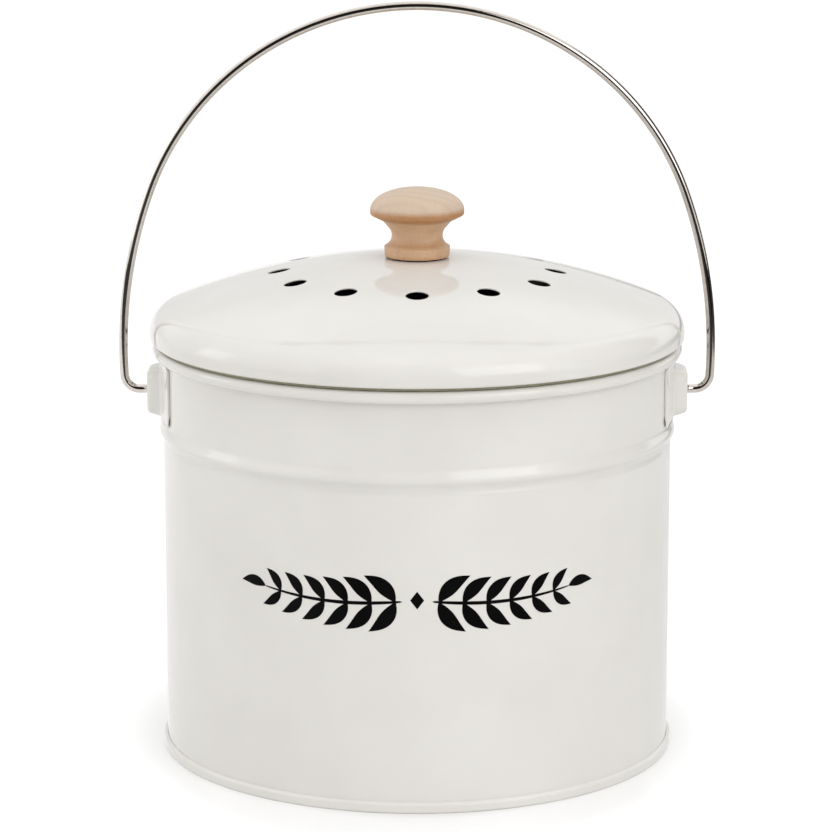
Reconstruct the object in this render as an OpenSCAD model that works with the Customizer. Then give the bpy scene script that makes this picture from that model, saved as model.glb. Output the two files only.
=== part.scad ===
// Countertop compost caddy: an enamelled steel pail with a lift-off vented lid,
// a turned wooden knob, a wire bail in pressed ears and a charcoal filter under the lid.
// Origin at the middle of the foot, on the surface it stands on. +Z up, front towards -Y.

/* [Pail] */
// Outer radius of the straight wall
wall_r = 100; // [80:0.5:130]
// Thickness of the wall sheet
wall_t = 0.8; // [0.5:0.1:1.2]
// Height to the top of the rolled rim
pail_h = 162; // [130:1:220]
// Radius of the roll along the rim
rim_roll_r = 2.4; // [1.8:0.1:3.5]
// Slit between the end of the rim's roll and the wall
rim_slit = 0.15; // [0.05:0.05:0.4]

/* [Swage round the pail] */
// Depth of the swage's crest below the top of the rim
swage_drop = 34.2; // [31:0.1:60]
// How far the crest stands out from the wall
swage_rise = 1.4; // [0.5:0.1:3]
// Height of the slope above the crest
swage_upper = 4.6; // [3:0.1:8]
// Height of the slope below the crest
swage_lower = 3.6; // [2:0.1:8]
// Depth of the groove under it
groove_d = 0.35; // [0.1:0.05:0.8]
// Height from the groove down to the plain wall
groove_fade = 2.4; // [1:0.1:6]

/* [Base] */
// Height of the seam band round the foot
seam_h = 4.2; // [3:0.1:8]
// How far the seam band stands out from the wall
seam_rise = 1.4; // [1.1:0.1:2.5]
// Thickness of the base sheet
base_t = 0.8; // [0.5:0.1:1.2]
// Radius of the stiffening step in the base
base_step_r = 78; // [40:1:90]
// Height of that step
base_step_h = 1; // [0.5:0.1:2]
// Width of the slope of that step
base_step_w = 5; // [3:0.5:10]
// Rounding of the seam band's lower edges
foot_round = 0.9; // [0.6:0.1:1]

/* [Ears] */
// Half-width of an ear's flange, measured as an angle round the pail
ear_half_angle = 17.3; // [13:0.1:25]
// Thickness of the ear sheet
ear_t = 1; // [0.6:0.1:1.5]
// Height of the flange below the pivot
ear_below = 9.8; // [8.5:0.1:14]
// Height of the flange above the pivot
ear_above = 14; // [9:0.1:14.5]
// Corner radius of the flange
ear_round = 3; // [1:0.5:5]
// Depth of the pivot below the top of the rim
pivot_drop = 20; // [19:0.5:26]
// How far the pocket stands out from the wall
pocket_depth = 6.4; // [5.6:0.1:9]
// Half-width of the pocket at its face
pocket_face_w = 8; // [6:0.5:12]
// Half-width of the pocket at the wall
pocket_root_w = 13; // [10:0.5:18]
// Half-height of the pocket at its face
pocket_face_h = 8.2; // [6:0.1:9]
// Half-height of the pocket at the wall
pocket_root_h = 9.2; // [7:0.1:9.6]
// Corner radius of the pocket
pocket_round = 3; // [1.5:0.1:4]

/* [Bail] */
// Diameter of the bail's wire
bail_d = 3.5; // [3:0.1:5]
// Gap between the ears' faces and the wire where it is widest
bail_side_gap = 7.4; // [5.6:0.1:12]
// Angle from the top that the top arc covers
bail_top_angle = 43; // [35:1:50]
// Angle from the top where the side arc takes over
bail_side_angle = 70; // [60:1:78]
// How much smaller the shoulder arc's radius is than the top arc's
bail_shoulder_less = 3; // [0:0.5:12]
// How much larger the side arc's radius is than the top arc's
bail_side_more = 72; // [30:1:90]
// How far the wire leans in where it meets the bend at the ear
bail_lean = 3; // [0:0.5:6]
// Radius of that bend on the wire's centre line
bail_bend_r = 6; // [4.5:0.1:7]
// Radial clearance of the wire in the ear
bail_fit = 0.1; // [0.05:0.01:0.1]
// Diameter of the upset head on the wire's end
bail_head_d = 5.6; // [5:0.1:7]
// Thickness of that head
bail_head_t = 1.4; // [1:0.1:2]
// Play of the head behind the ear's face
bail_head_play = 0.3; // [0.2:0.05:0.8]

/* [Lid] */
// How far the lid reaches out past the rim
lid_overhang = 0.85; // [0.4:0.05:3]
// Thickness of the lid sheet
lid_t = 0.8; // [0.5:0.1:1]
// Radius of the domed top
dome_r = 266; // [220:1:400]
// Radius of the lid's shoulder
shoulder_r = 10.6; // [6:0.1:14]
// Height of the upright edge of the lid
lid_edge_h = 2.9; // [2:0.1:5]
// Radius of the hem along the lid's edge
hem_r = 1.4; // [1.1:0.1:1.8]
// Width of the hem's turned-in leaf
hem_leaf = 2.6; // [2:0.1:3.5]
// Radius of the flat seat under the knob
knob_seat_r = 13; // [13:0.5:16]
// Gap between the rim and the lid's edge
lid_gap = 1.3; // [1:0.05:2]
// Number of vents
vent_n = 12; // [6:1:16]
// Diameter of a vent
vent_d = 8.7; // [5:0.1:12]
// Radius of the circle that the vents lie on
vent_circle_r = 54.1; // [40:0.1:62]

/* [Lid collar and gasket] */
// Clearance between the pail's wall and the lid's collar
collar_fit = 1; // [0.8:0.1:2]
// Thickness of the collar's sheet
collar_t = 0.8; // [0.5:0.1:1]
// Depth of the collar below the rim
collar_drop = 12; // [6:0.5:20]
// Width of the collar's flange
collar_flange = 6; // [5:0.1:6.2]
// How far the gasket reaches out past the top of the rim
gasket_lip = 1.25; // [0.6:0.05:1.8]
// Clearance between the gasket and the pail
gasket_gap = 0.3; // [0.2:0.05:0.4]
// Depth of the gasket's skirt below the rim
gasket_skirt = 5; // [3:0.5:8]

/* [Knob] */
// Largest radius of the knob's cap
cap_r = 18.4; // [17:0.1:24]
// Height of the cap's domed top
cap_h = 8.9; // [6:0.1:14]
// Roundness of the cap's top, 2 is an ellipse
cap_power = 2.1; // [2:0.05:3]
// Radius of the cap's lower edge
cap_edge_r = 1; // [0.6:0.1:1.3]
// Height of the cap's upright band, below the domed top
cap_band = 0.9; // [0.2:0.1:2]
// Height of the band's upper edge above the knob's foot
cap_z = 18.05; // [16:0.05:24]
// Radius of the neck
neck_r = 10; // [8:0.05:11]
// Height of the neck's thinnest ring above the knob's foot
neck_z = 8.3; // [7.5:0.05:9]
// Radius of the cove that forms the neck
cove_r = 4.6; // [4.2:0.1:5]
// Slope of the flare above the neck, from the level
flare_angle = 49; // [42:1:55]
// Radius where the flare meets the cap's flatter underside
underside_r = 13.5; // [12.8:0.1:15]
// Radius of the knob's foot
knob_foot_r = 12.9; // [12.2:0.05:13]
// Taper of the foot towards its base
knob_foot_taper = 0.3; // [0.2:0.05:1]
// Thickness of the washer under the knob
knob_washer_t = 0.6; // [0.4:0.1:1.5]
// Radius of the washer under the knob
knob_washer_r = 11.2; // [8:0.1:12]

/* [Screw] */
// Diameter of the screw
screw_d = 4; // [3:0.1:5]
// How far the screw reaches into the knob
screw_reach = 14; // [8:0.5:16]
// Diameter of the screw's head
screw_head_d = 8; // [6:0.1:9]
// Height of the screw's head
screw_head_h = 2.4; // [1.8:0.1:2.6]
// Diameter of the washer under the screw's head
screw_washer_d = 12; // [10:0.5:16]
// Thickness of that washer
screw_washer_t = 0.8; // [0.5:0.1:1.2]
// Clearance of the screw in the holes it passes through
screw_fit = 0.3; // [0.1:0.05:0.5]
// Width of the slots in the screw's head
screw_slot_w = 1; // [0.8:0.1:1.2]

/* [Filter] */
// Inner radius of the filter housing
housing_r = 72; // [66:0.5:76]
// Thickness of the housing's wall
housing_t = 3; // [2.6:0.1:4]
// Depth of the housing below its top edge
housing_h = 17; // [15.5:0.1:22]
// Number of spokes that carry the housing
spoke_n = 6; // [4:1:8]
// Width of a spoke
spoke_w = 2.4; // [1.6:0.1:4]
// Radius of the hub in the middle of the spokes
hub_r = 10.5; // [9:0.5:14]
// Depth of the hub
hub_h = 7.7; // [6:0.1:8]
// Thickness of the charcoal pad
pad_t = 10.5; // [6:0.5:11]
// Clearance round the charcoal pad
pad_gap = 1; // [0.5:0.1:2]
// Thickness of the grille
grille_t = 2.6; // [2.2:0.1:4]
// Clearance round the grille
grille_gap = 0.4; // [0.3:0.05:0.8]
// Width of the grille's outer ring
grille_ring_w = 5.5; // [4:0.1:8]
// Radius of the solid middle of the grille
grille_hub_r = 8; // [6:0.5:12]
// Number of the grille's radial bars
grille_bar_n = 12; // [6:1:18]
// Width of a bar
grille_bar_w = 2.2; // [1.6:0.1:3]
// Number of the grille's inner rings
grille_ring_n = 3; // [1:1:5]
// Height of the finger grip under the grille
grip_h = 7; // [4:0.5:12]
// Length of the finger grip
grip_l = 44; // [30:1:60]
// Width of the finger grip
grip_w = 3.6; // [3:0.1:6]

/* [Bayonet] */
// Number of lugs
lug_n = 3; // [2:1:4]
// How far a lug reaches out past the grille's edge
lug_reach = 1.7; // [1.2:0.1:2]
// Height of a lug
lug_h = 1.6; // [1.2:0.1:2]
// Half-width of a lug, as an angle
lug_half_angle = 5; // [3:0.5:8]
// Turn that frees the lugs
lug_turn = 20; // [12:1:30]
// Clearance round a lug
lug_gap = 0.35; // [0.2:0.05:0.5]
// Height of the housing's edge that holds a lug from below
ledge_h = 1.6; // [1:0.1:2.5]

/* [Hidden] */
$fn = 96;
// Steps in a rounded corner, in a slope and in a long arc
corner_n = 5;
slope_n = 8;
arc_n = 16;
// Gap that keeps touching sheets apart
seat = 0.05;
// Gap between the spokes and what lies above and below them
spoke_gap = 0.5;
// Inner radius of a bend in sheet, rounding of a soft edge and of a wooden edge
bend = 0.4;
soft = 0.2;
eased = 0.4;
// Overshoot of a cutting shape
over = 1;
enamel = [0.93, 0.92, 0.89];
steel = [0.74, 0.72, 0.68];
beech = [0.84, 0.71, 0.54];
silicone = [0.60, 0.60, 0.48];
plastic = [0.10, 0.10, 0.10];

// Pail
rim_r = wall_r - wall_t + rim_roll_r;
rim_z = pail_h - rim_roll_r;
rim_end_angle = -acos((rim_slit + wall_t - rim_roll_r) / rim_roll_r);
foot_z = base_t + seat;
crest_z = pail_h - swage_drop;
groove_z = crest_z - swage_lower;
// Base
hook_r = wall_r + seat;
chuck_r = wall_r - wall_t - seat;
seam_r = wall_r + seam_rise;
// Ears and bail
pivot_z = pail_h - pivot_drop;
ear_in_r = wall_r + seat;
ear_face_x = wall_r + pocket_depth;
bail_half_w = ear_face_x + bail_side_gap + bail_d / 2;
bail_top_r = bail_half_w + bail_shoulder_less * (sin(bail_side_angle) - sin(bail_top_angle))
    - bail_side_more * (1 - sin(bail_side_angle));
bail_shoulder_r = bail_top_r - bail_shoulder_less;
bail_side_r = bail_top_r + bail_side_more;
// Height of the arch's top, found by following the arcs up from the pivot
bail_top_z = pivot_z
    + bail_bend_r * (1 - sin(bail_lean))
    + bail_side_r * (cos(bail_side_angle) + sin(bail_lean))
    + bail_shoulder_r * (cos(bail_top_angle) - cos(bail_side_angle))
    + bail_top_r * (1 - cos(bail_top_angle));
// Lid
lid_r = rim_r + rim_roll_r + lid_overhang;
lid_bottom = pail_h + lid_gap;
shoulder_cr = lid_r - shoulder_r;
shoulder_cz = lid_bottom + lid_edge_h;
dome_cz = shoulder_cz - sqrt(pow(dome_r - shoulder_r, 2) - pow(shoulder_cr, 2));
shoulder_angle = atan2(shoulder_cz - dome_cz, shoulder_cr);
knob_seat_z = dome_z(knob_seat_r, 0);
seat_under_z = knob_seat_z - lid_t;
// Collar and gasket
collar_r = wall_r - wall_t - collar_fit;
collar_flange_z = lid_bottom + lid_t + seat;
hem_leaf_r = lid_r - hem_r - hem_leaf + lid_t / 2;
// Knob
knob_z = knob_seat_z + knob_washer_t;
// Filter
housing_top = dome_z(housing_r + housing_t, lid_t) - lug_gap;
housing_bottom = housing_top - housing_h;
hub_bottom = seat_under_z - seat - hub_h;
grille_r = housing_r - grille_gap;
lug_z = housing_bottom + ledge_h + lug_gap;
grille_z = lug_z - (grille_t - lug_h) / 2;
pad_z = grille_z + grille_t + seat;
spoke_z = pad_z + pad_t + spoke_gap;
lug_r = grille_r + lug_reach;

// Height of the domed top at radius r, for the surface that lies depth under the outer one
function dome_z(r, depth) = dome_cz + sqrt(pow(dome_r - depth, 2) - r * r);
// Points along an arc round c, leaving out the first
function arc(c, r, a0, a1, n) = [for (i = [1:n]) let (a = a0 + (a1 - a0) * i / n) c + r * [cos(a), sin(a)]];
// Points along an S-shaped slope from a to b, leaving out the first
function slope(a, b) = [
    for (i = [1:slope_n]) let (u = i / slope_n) [a.x + (b.x - a.x) * (1 - cos(180 * u)) / 2, a.y + (b.y - a.y) * u]
];
function unit(v) = v / norm(v);
function turn(d) = d > 180 ? d - 360 : d < -180 ? d + 360 : d;
// Points round the corner b between a and c, where b is [x, y, radius]
function corner(a, b, c) =
    b[2] == 0 ? [[b.x, b.y]] :
    let (p = [b.x, b.y], u = unit([a.x, a.y] - p), v = unit([c.x, c.y] - p), half = acos(u * v) / 2)
    let (m = p + unit(u + v) * b[2] / sin(half), s = p + u * b[2] / tan(half) - m, e = p + v * b[2] / tan(half) - m)
    let (a0 = atan2(s.y, s.x), sweep = turn(atan2(e.y, e.x) - a0))
    [for (i = [0:corner_n]) let (t = a0 + sweep * i / corner_n) m + b[2] * [cos(t), sin(t)]];
// A closed outline from a list of [x, y, corner radius]
function rounded(p) = [for (i = [0:len(p) - 1]) each corner(p[(i + len(p) - 1) % len(p)], p[i], p[(i + 1) % len(p)])];

module revolve(outline) {
    rotate_extrude() polygon(outline);
}

// Pail: the wall, its swage and its rolled rim are one sheet

function wall_line(off) = concat(
    [[wall_r - off, foot_z], [wall_r - off, groove_z - groove_fade]],
    slope([wall_r - off, groove_z - groove_fade], [wall_r - off - groove_d, groove_z]),
    slope([wall_r - off - groove_d, groove_z], [wall_r - off + swage_rise, crest_z]),
    slope([wall_r - off + swage_rise, crest_z], [wall_r - off, crest_z + swage_upper]),
    [[wall_r - off, rim_z]]
);
function reversed(p) = [for (i = [len(p) - 1:-1:0]) p[i]];

module pail_wall() {
    roll = [rim_r, rim_z];
    color(enamel)
    revolve(concat(
        wall_line(0),
        arc(roll, rim_roll_r - wall_t, 180, rim_end_angle, arc_n),
        reversed(arc(roll, rim_roll_r, 180, rim_end_angle, arc_n)),
        reversed(wall_line(wall_t))
    ));
}

// Base: a pressed disc whose edge is folded round the foot of the wall

module pail_base() {
    chuck_in_r = chuck_r - base_t;
    panel_z = seam_h - base_t;
    raised = [0, base_step_h];
    color(enamel)
    revolve(concat(
        [raised + [0, seam_h], raised + [base_step_r, seam_h]],
        slope(raised + [base_step_r, seam_h], [base_step_r + base_step_w, seam_h]),
        corner([0, seam_h], [chuck_r, seam_h, bend + base_t], [chuck_r, 0]),
        [[chuck_r, base_t], [hook_r, base_t]],
        corner([hook_r, 0], [hook_r, seam_h, bend], [seam_r, seam_h]),
        corner([hook_r, seam_h], [seam_r, seam_h, bend], [seam_r, 0]),
        corner([seam_r, seam_h], [seam_r, 0, foot_round], [0, 0]),
        corner([seam_r, 0], [chuck_in_r, 0, foot_round], [chuck_in_r, seam_h]),
        corner([chuck_in_r, 0], [chuck_in_r, panel_z, bend], [0, panel_z]),
        reversed(slope(raised + [base_step_r, panel_z], [base_step_r + base_step_w, panel_z])),
        [raised + [base_step_r, panel_z], raised + [0, panel_z]]
    ));
}

// Ears: pressed lugs with a hollow pocket for the bail's head

// The pocket's shape, smaller by inset on every side but the wall's
module pocket(inset) {
    face = ear_face_x - inset;
    round_r = pocket_round - inset;
    root = wall_r - over;
    plan = rounded([
        [root, -pocket_root_w + inset, 0], [face, -pocket_face_w + inset, round_r],
        [face, pocket_face_w - inset, round_r], [root, pocket_root_w - inset, 0]
    ]);
    side = rounded([
        [root, -pocket_root_h + inset, 0], [face, -pocket_face_h + inset, round_r],
        [face, pocket_face_h - inset, round_r], [root, pocket_root_h - inset, 0]
    ]);
    w = pocket_root_w - inset + seat;
    h = pocket_root_h - inset + seat;
    corner_r = round_r + over;
    front = rounded([[-w, -h, corner_r], [w, -h, corner_r], [w, h, corner_r], [-w, h, corner_r]]);
    intersection() {
        translate([0, 0, -h - over]) linear_extrude(2 * (h + over)) polygon(plan);
        translate([0, w + over, 0]) rotate([90, 0, 0]) linear_extrude(2 * (w + over)) polygon(side);
        translate([root, 0, 0]) rotate([90, 0, 90]) linear_extrude(pocket_depth + 2 * over) polygon(front);
    }
}

module ear() {
    half_y = ear_in_r * sin(ear_half_angle);
    difference() {
        union() {
            intersection() {
                sector(ear_in_r, ear_in_r + ear_t, -ear_below - over, ear_above + over,
                    -2 * ear_half_angle, 2 * ear_half_angle);
                rotate([90, 0, 90]) linear_extrude(wall_r + pocket_depth) polygon(rounded([
                    [-half_y, -ear_below, ear_round], [half_y, -ear_below, ear_round],
                    [half_y, ear_above, ear_round], [-half_y, ear_above, ear_round]
                ]));
            }
            difference() {
                pocket(0);
                translate([0, 0, -pocket_root_h - over]) cylinder(r = ear_in_r, h = 2 * (pocket_root_h + over));
            }
        }
        pocket(ear_t);
        translate([wall_r, 0, 0]) rotate([0, 90, 0]) cylinder(d = bail_d + 2 * bail_fit, h = pocket_depth + over);
    }
}

module ear_right() {
    color(enamel) translate([0, 0, pivot_z]) ear();
}

module ear_left() {
    color(enamel) translate([0, 0, pivot_z]) mirror([1, 0, 0]) ear();
}

// Bail: one wire, bent from arcs that run into each other

// Centre of the next arc, where the wire leaves an arc round c at angle a and goes on with radius r1
function next_centre(c, r0, r1, a) = c + (r0 - r1) * [cos(a), sin(a)];
// Stations [x, z, heading] along an arc of wire round c, heading out from the arch, first one included
function stations(c, r, a0, a1, step) = let (n = ceil((a1 - a0) / step))
    [for (i = [0:n - 1]) let (a = a0 + (a1 - a0) * i / n) [c.x + r * cos(a), c.y + r * sin(a), a]];

bail_top_c = [0, bail_top_z - bail_top_r];
bail_shoulder_c = next_centre(bail_top_c, bail_top_r, bail_shoulder_r, 90 - bail_top_angle);
bail_side_c = next_centre(bail_shoulder_c, bail_shoulder_r, bail_side_r, 90 - bail_side_angle);
bail_bend_c = next_centre(bail_side_c, bail_side_r, bail_bend_r, -bail_lean);
bail_half = concat(
    [[bail_bend_c.x - bail_d, pivot_z, -90]],
    stations(bail_bend_c, bail_bend_r, -90, -bail_lean, 15),
    stations(bail_side_c, bail_side_r, -bail_lean, 90 - bail_side_angle, 2.5),
    stations(bail_shoulder_c, bail_shoulder_r, 90 - bail_side_angle, 90 - bail_top_angle, 3),
    stations(bail_top_c, bail_top_r, 90 - bail_top_angle, 90, 3)
);
bail_line = concat(
    bail_half,
    [[0, bail_top_z, 90]],
    [for (s = reversed(bail_half)) [-s.x, s.y, 180 - s[2]]]
);

// The arch as a tube with a ring of points at every station, a hair inside the round wire of its ends
module arch() {
    sides = 16;
    r = bail_d / 2 * 0.997;
    n = len(bail_line);
    points = [for (s = bail_line, k = [0:sides - 1]) let (t = 360 * k / sides)
        [s.x + r * cos(t) * cos(s[2]), r * sin(t), s.y + r * cos(t) * sin(s[2])]];
    quads = [for (i = [0:n - 2], k = [0:sides - 1]) let (j = (k + 1) % sides, m = i * sides)
        [m + k, m + sides + k, m + sides + j, m + j]];
    ends = [[for (k = [0:sides - 1]) k], [for (k = [sides - 1:-1:0]) (n - 1) * sides + k]];
    polyhedron(points, concat(quads, ends), convexity = 4);
}

module bail_end() {
    head_x = ear_face_x - ear_t - bail_head_play - bail_head_t;
    translate([head_x, 0, pivot_z]) rotate([0, 90, 0]) cylinder(d = bail_d, h = bail_bend_c.x - head_x);
    translate([head_x, 0, pivot_z]) rotate([0, 90, 0]) cylinder(d = bail_head_d, h = bail_head_t);
}

module bail() {
    color(steel) {
        arch();
        bail_end();
        mirror([1, 0, 0]) bail_end();
    }
}

// Lid: a domed sheet with a hemmed edge and a ring of vents

function lid_line(off) = concat(
    [[0, knob_seat_z - off], [knob_seat_r, dome_z(knob_seat_r, off)]],
    arc([0, dome_cz], dome_r - off, 90 - asin(knob_seat_r / (dome_r - off)), shoulder_angle, arc_n),
    arc([shoulder_cr, shoulder_cz], shoulder_r - off, shoulder_angle, 0, 2 * corner_n),
    arc([lid_r - hem_r, lid_bottom + hem_r], hem_r - off, 0, -90, corner_n),
    [[hem_leaf_r, lid_bottom + off]]
);

module lid_shell() {
    color(enamel)
    difference() {
        revolve(concat(lid_line(0), reversed(lid_line(lid_t))));
        translate([0, 0, knob_seat_z - lid_t - over]) cylinder(d = screw_d + 2 * screw_fit, h = lid_t + 2 * over);
        for (i = [0:vent_n - 1])
            rotate([0, 0, i * 360 / vent_n - 90])
            translate([vent_circle_r, 0, lid_bottom + lid_edge_h])
            cylinder(d = vent_d, h = knob_seat_z - lid_bottom);
    }
}

module lid_collar() {
    top = collar_flange_z + collar_t;
    bottom = pail_h - collar_drop;
    color(enamel)
    revolve(rounded([
        [collar_r - collar_t, bottom, 0], [collar_r, bottom, 0],
        [collar_r, collar_flange_z, bend], [collar_r - collar_t + collar_flange, collar_flange_z, 0],
        [collar_r - collar_t + collar_flange, top, 0], [collar_r - collar_t, top, bend + collar_t]
    ]));
}

module lid_gasket() {
    inner = collar_r + seat;
    low = pail_h + gasket_gap;
    high = lid_bottom - seat;
    color(silicone)
    revolve(rounded([
        [inner, pail_h - gasket_skirt, 0], [wall_r - wall_t - gasket_gap, pail_h - gasket_skirt, soft],
        [wall_r - wall_t - gasket_gap, low, soft], [rim_r + gasket_lip, low, soft],
        [rim_r + gasket_lip, high, soft], [hem_leaf_r - seat, high, 0],
        [hem_leaf_r - seat, collar_flange_z - seat, soft], [inner + bend, collar_flange_z - seat, soft]
    ]));
}

// Knob: turned in one piece, with a blind hole for the screw

module lid_knob() {
    cove_c = [neck_r + cove_r, neck_z];
    cove_low = 180 + acos((cove_c.x - knob_foot_r + eased) / cove_r);
    foot_edge_c = cove_c + cove_r * [cos(cove_low), sin(cove_low)] - [0, eased];
    cove_end = cove_c + cove_r * [-sin(flare_angle), cos(flare_angle)];
    underside = [underside_r, cove_end.y + (underside_r - cove_end.x) * tan(flare_angle)];
    edge_c = [cap_r - cap_edge_r, cap_z - cap_band];
    reach = edge_c - underside;
    edge_start = atan2(reach.y, reach.x) - asin(cap_edge_r / norm(reach)) - 90;
    edge_low = edge_c + cap_edge_r * [cos(edge_start), sin(edge_start)];
    color(beech)
    difference() {
        translate([0, 0, knob_z]) revolve(concat(
            [[0, 0]],
            corner([0, 0], [knob_foot_r - knob_foot_taper, 0, eased], foot_edge_c + [eased, 0]),
            [foot_edge_c + [eased, 0]],
            arc(foot_edge_c, eased, 0, 90, corner_n),
            arc(cove_c, cove_r, cove_low, 90 + flare_angle, 2 * corner_n),
            corner(cove_end, [underside.x, underside.y, eased], edge_low),
            [edge_low],
            arc(edge_c, cap_edge_r, edge_start, 0, corner_n),
            [for (i = [0:arc_n]) let (a = 90 * i / arc_n)
                [cap_r * pow(cos(a), 2 / cap_power), cap_z + cap_h * pow(sin(a), 2 / cap_power)]]
        ));
        translate([0, 0, knob_z - over]) cylinder(d = screw_d + 2 * seat, h = screw_reach + over + seat);
    }
}

module knob_washer() {
    color(plastic)
    translate([0, 0, knob_seat_z]) difference() {
        cylinder(r = knob_washer_r, h = knob_washer_t);
        translate([0, 0, -over]) cylinder(d = screw_d + 2 * screw_fit, h = knob_washer_t + 2 * over);
    }
}

module knob_screw() {
    head_top = hub_bottom - screw_washer_t;
    color(steel) {
        translate([0, 0, head_top - screw_head_h]) difference() {
            revolve(rounded([
                [0, 0, 0], [screw_head_d / 2, 0, screw_head_h / 2],
                [screw_head_d / 2, screw_head_h, 0], [0, screw_head_h, 0]
            ]));
            for (a = [0, 90])
                rotate([0, 0, a]) translate([-screw_head_d / 4, -screw_slot_w / 2, -over])
                cube([screw_head_d / 2, screw_slot_w, over + screw_head_h / 2]);
        }
        translate([0, 0, head_top - seat]) cylinder(d = screw_d, h = knob_z + screw_reach - head_top);
    }
}

module screw_washer() {
    color(steel)
    translate([0, 0, hub_bottom - screw_washer_t]) difference() {
        cylinder(d = screw_washer_d, h = screw_washer_t);
        translate([0, 0, -over]) cylinder(d = screw_d + 2 * screw_fit, h = screw_washer_t + 2 * over);
    }
}

// Filter: a housing that the screw holds, and a grille that turns out of it with the pad

// A block that follows the circle, from radius r0 to r1, height z0 to z1 and angle a_from to a_to
module sector(r0, r1, z0, z1, a_from, a_to) {
    rotate([0, 0, a_from])
    rotate_extrude(angle = a_to - a_from) translate([r0, z0]) square([r1 - r0, z1 - z0]);
}

module filter_housing() {
    slot_half = lug_half_angle + asin(lug_gap / lug_r);
    entry_half = lug_half_angle + 2 * asin(lug_gap / lug_r);
    spoke_end = dome_z(housing_r + housing_t / 2, lid_t) - lug_gap;
    color(plastic)
    difference() {
        union() {
            revolve(rounded([
                [housing_r, housing_bottom, 0.5], [housing_r + housing_t, housing_bottom, 0.5],
                [housing_r + housing_t, housing_top, 0.5], [housing_r, housing_top, 0.5]
            ]));
            translate([0, 0, hub_bottom]) cylinder(r = hub_r, h = hub_h);
            for (i = [0:spoke_n - 1])
                rotate([0, 0, (i + 0.25) * 360 / spoke_n])
                translate([0, spoke_w / 2, 0])
                rotate([90, 0, 0])
                linear_extrude(spoke_w) polygon([
                    [hub_r / 2, hub_bottom], [hub_r, hub_bottom], [housing_r - housing_t, spoke_z],
                    [housing_r + housing_t / 2, spoke_z], [housing_r + housing_t / 2, spoke_end],
                    [hub_r / 2, seat_under_z - spoke_gap]
                ]);
        }
        translate([0, 0, hub_bottom - over]) cylinder(d = screw_d + 2 * screw_fit, h = hub_h + 2 * over);
        for (i = [0:lug_n - 1]) {
            a = i * 360 / lug_n;
            sector(housing_r - over, lug_r + lug_gap, lug_z - lug_gap, lug_z + lug_h + lug_gap,
                a - slot_half, a + lug_turn);
            sector(housing_r - 2 * over, lug_r + 2 * lug_gap, housing_bottom - over, lug_z + lug_h + 2 * lug_gap,
                a + lug_turn - entry_half, a + lug_turn + entry_half);
        }
    }
}

module filter_grille() {
    pitch = (grille_r - grille_ring_w - grille_hub_r) / (grille_ring_n + 1);
    bay = 360 / grille_bar_n;
    color(plastic) {
        translate([0, 0, grille_z]) {
            difference() {
                cylinder(r = grille_r, h = grille_t);
                for (k = [0:grille_ring_n], i = [0:grille_bar_n - 1]) {
                    from = grille_hub_r + k * pitch + (k == 0 ? 0 : grille_bar_w / 2);
                    to = grille_hub_r + (k + 1) * pitch - (k == grille_ring_n ? 0 : grille_bar_w / 2);
                    bar = asin(grille_bar_w / (from + to));
                    sector(from, to, -over, grille_t + over, i * bay + bar, (i + 1) * bay - bar);
                }
            }
            translate([0, 0, -grip_h]) linear_extrude(grip_h + grille_t / 2) polygon(rounded([
                [-grip_l / 2, -grip_w / 2, grip_w / 2 - soft], [grip_l / 2, -grip_w / 2, grip_w / 2 - soft],
                [grip_l / 2, grip_w / 2, grip_w / 2 - soft], [-grip_l / 2, grip_w / 2, grip_w / 2 - soft]
            ]));
        }
        for (i = [0:lug_n - 1])
            sector(grille_r - grille_ring_w / 2, lug_r, lug_z, lug_z + lug_h,
                i * 360 / lug_n - lug_half_angle, i * 360 / lug_n + lug_half_angle);
    }
}

module charcoal_pad() {
    color([0.06, 0.06, 0.06])
    translate([0, 0, pad_z]) cylinder(r = housing_r - pad_gap, h = pad_t);
}

pail_wall();
pail_base();
ear_left();
ear_right();
bail();
lid_shell();
lid_collar();
lid_gasket();
lid_knob();
knob_washer();
knob_screw();
screw_washer();
filter_housing();
filter_grille();
charcoal_pad();
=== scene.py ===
# %% [markdown]
# # A compost caddy, dressed in Blender
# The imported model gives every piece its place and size. This file gives each piece the surface
# and the finish of the real one. Sizes are written in millimetres, as on a drawing, and a mesh
# is scaled to metres when it is made. Places of the camera and the lamps are in metres.

import bmesh
import bpy
import numpy as np
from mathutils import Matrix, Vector


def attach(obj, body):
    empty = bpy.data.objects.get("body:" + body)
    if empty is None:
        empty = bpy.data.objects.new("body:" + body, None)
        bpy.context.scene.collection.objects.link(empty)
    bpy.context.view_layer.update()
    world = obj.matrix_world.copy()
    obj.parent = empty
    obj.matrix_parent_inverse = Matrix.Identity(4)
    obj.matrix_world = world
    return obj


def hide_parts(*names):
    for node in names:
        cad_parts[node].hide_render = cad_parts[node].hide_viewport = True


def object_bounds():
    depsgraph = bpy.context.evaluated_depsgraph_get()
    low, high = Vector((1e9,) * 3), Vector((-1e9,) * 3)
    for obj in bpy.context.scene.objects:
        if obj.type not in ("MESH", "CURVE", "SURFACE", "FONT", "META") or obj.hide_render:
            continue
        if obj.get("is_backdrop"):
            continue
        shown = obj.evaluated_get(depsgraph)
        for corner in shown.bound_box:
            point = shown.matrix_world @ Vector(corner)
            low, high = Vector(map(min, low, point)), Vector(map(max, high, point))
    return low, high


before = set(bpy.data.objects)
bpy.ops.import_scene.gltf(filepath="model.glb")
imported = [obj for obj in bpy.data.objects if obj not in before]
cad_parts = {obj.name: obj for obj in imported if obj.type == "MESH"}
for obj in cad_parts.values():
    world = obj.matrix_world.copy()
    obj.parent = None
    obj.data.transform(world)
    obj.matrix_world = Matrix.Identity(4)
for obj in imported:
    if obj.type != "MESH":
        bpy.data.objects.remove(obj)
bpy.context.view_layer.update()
MM = 0.001
print("nodes:", ", ".join(sorted(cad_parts)))

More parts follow.
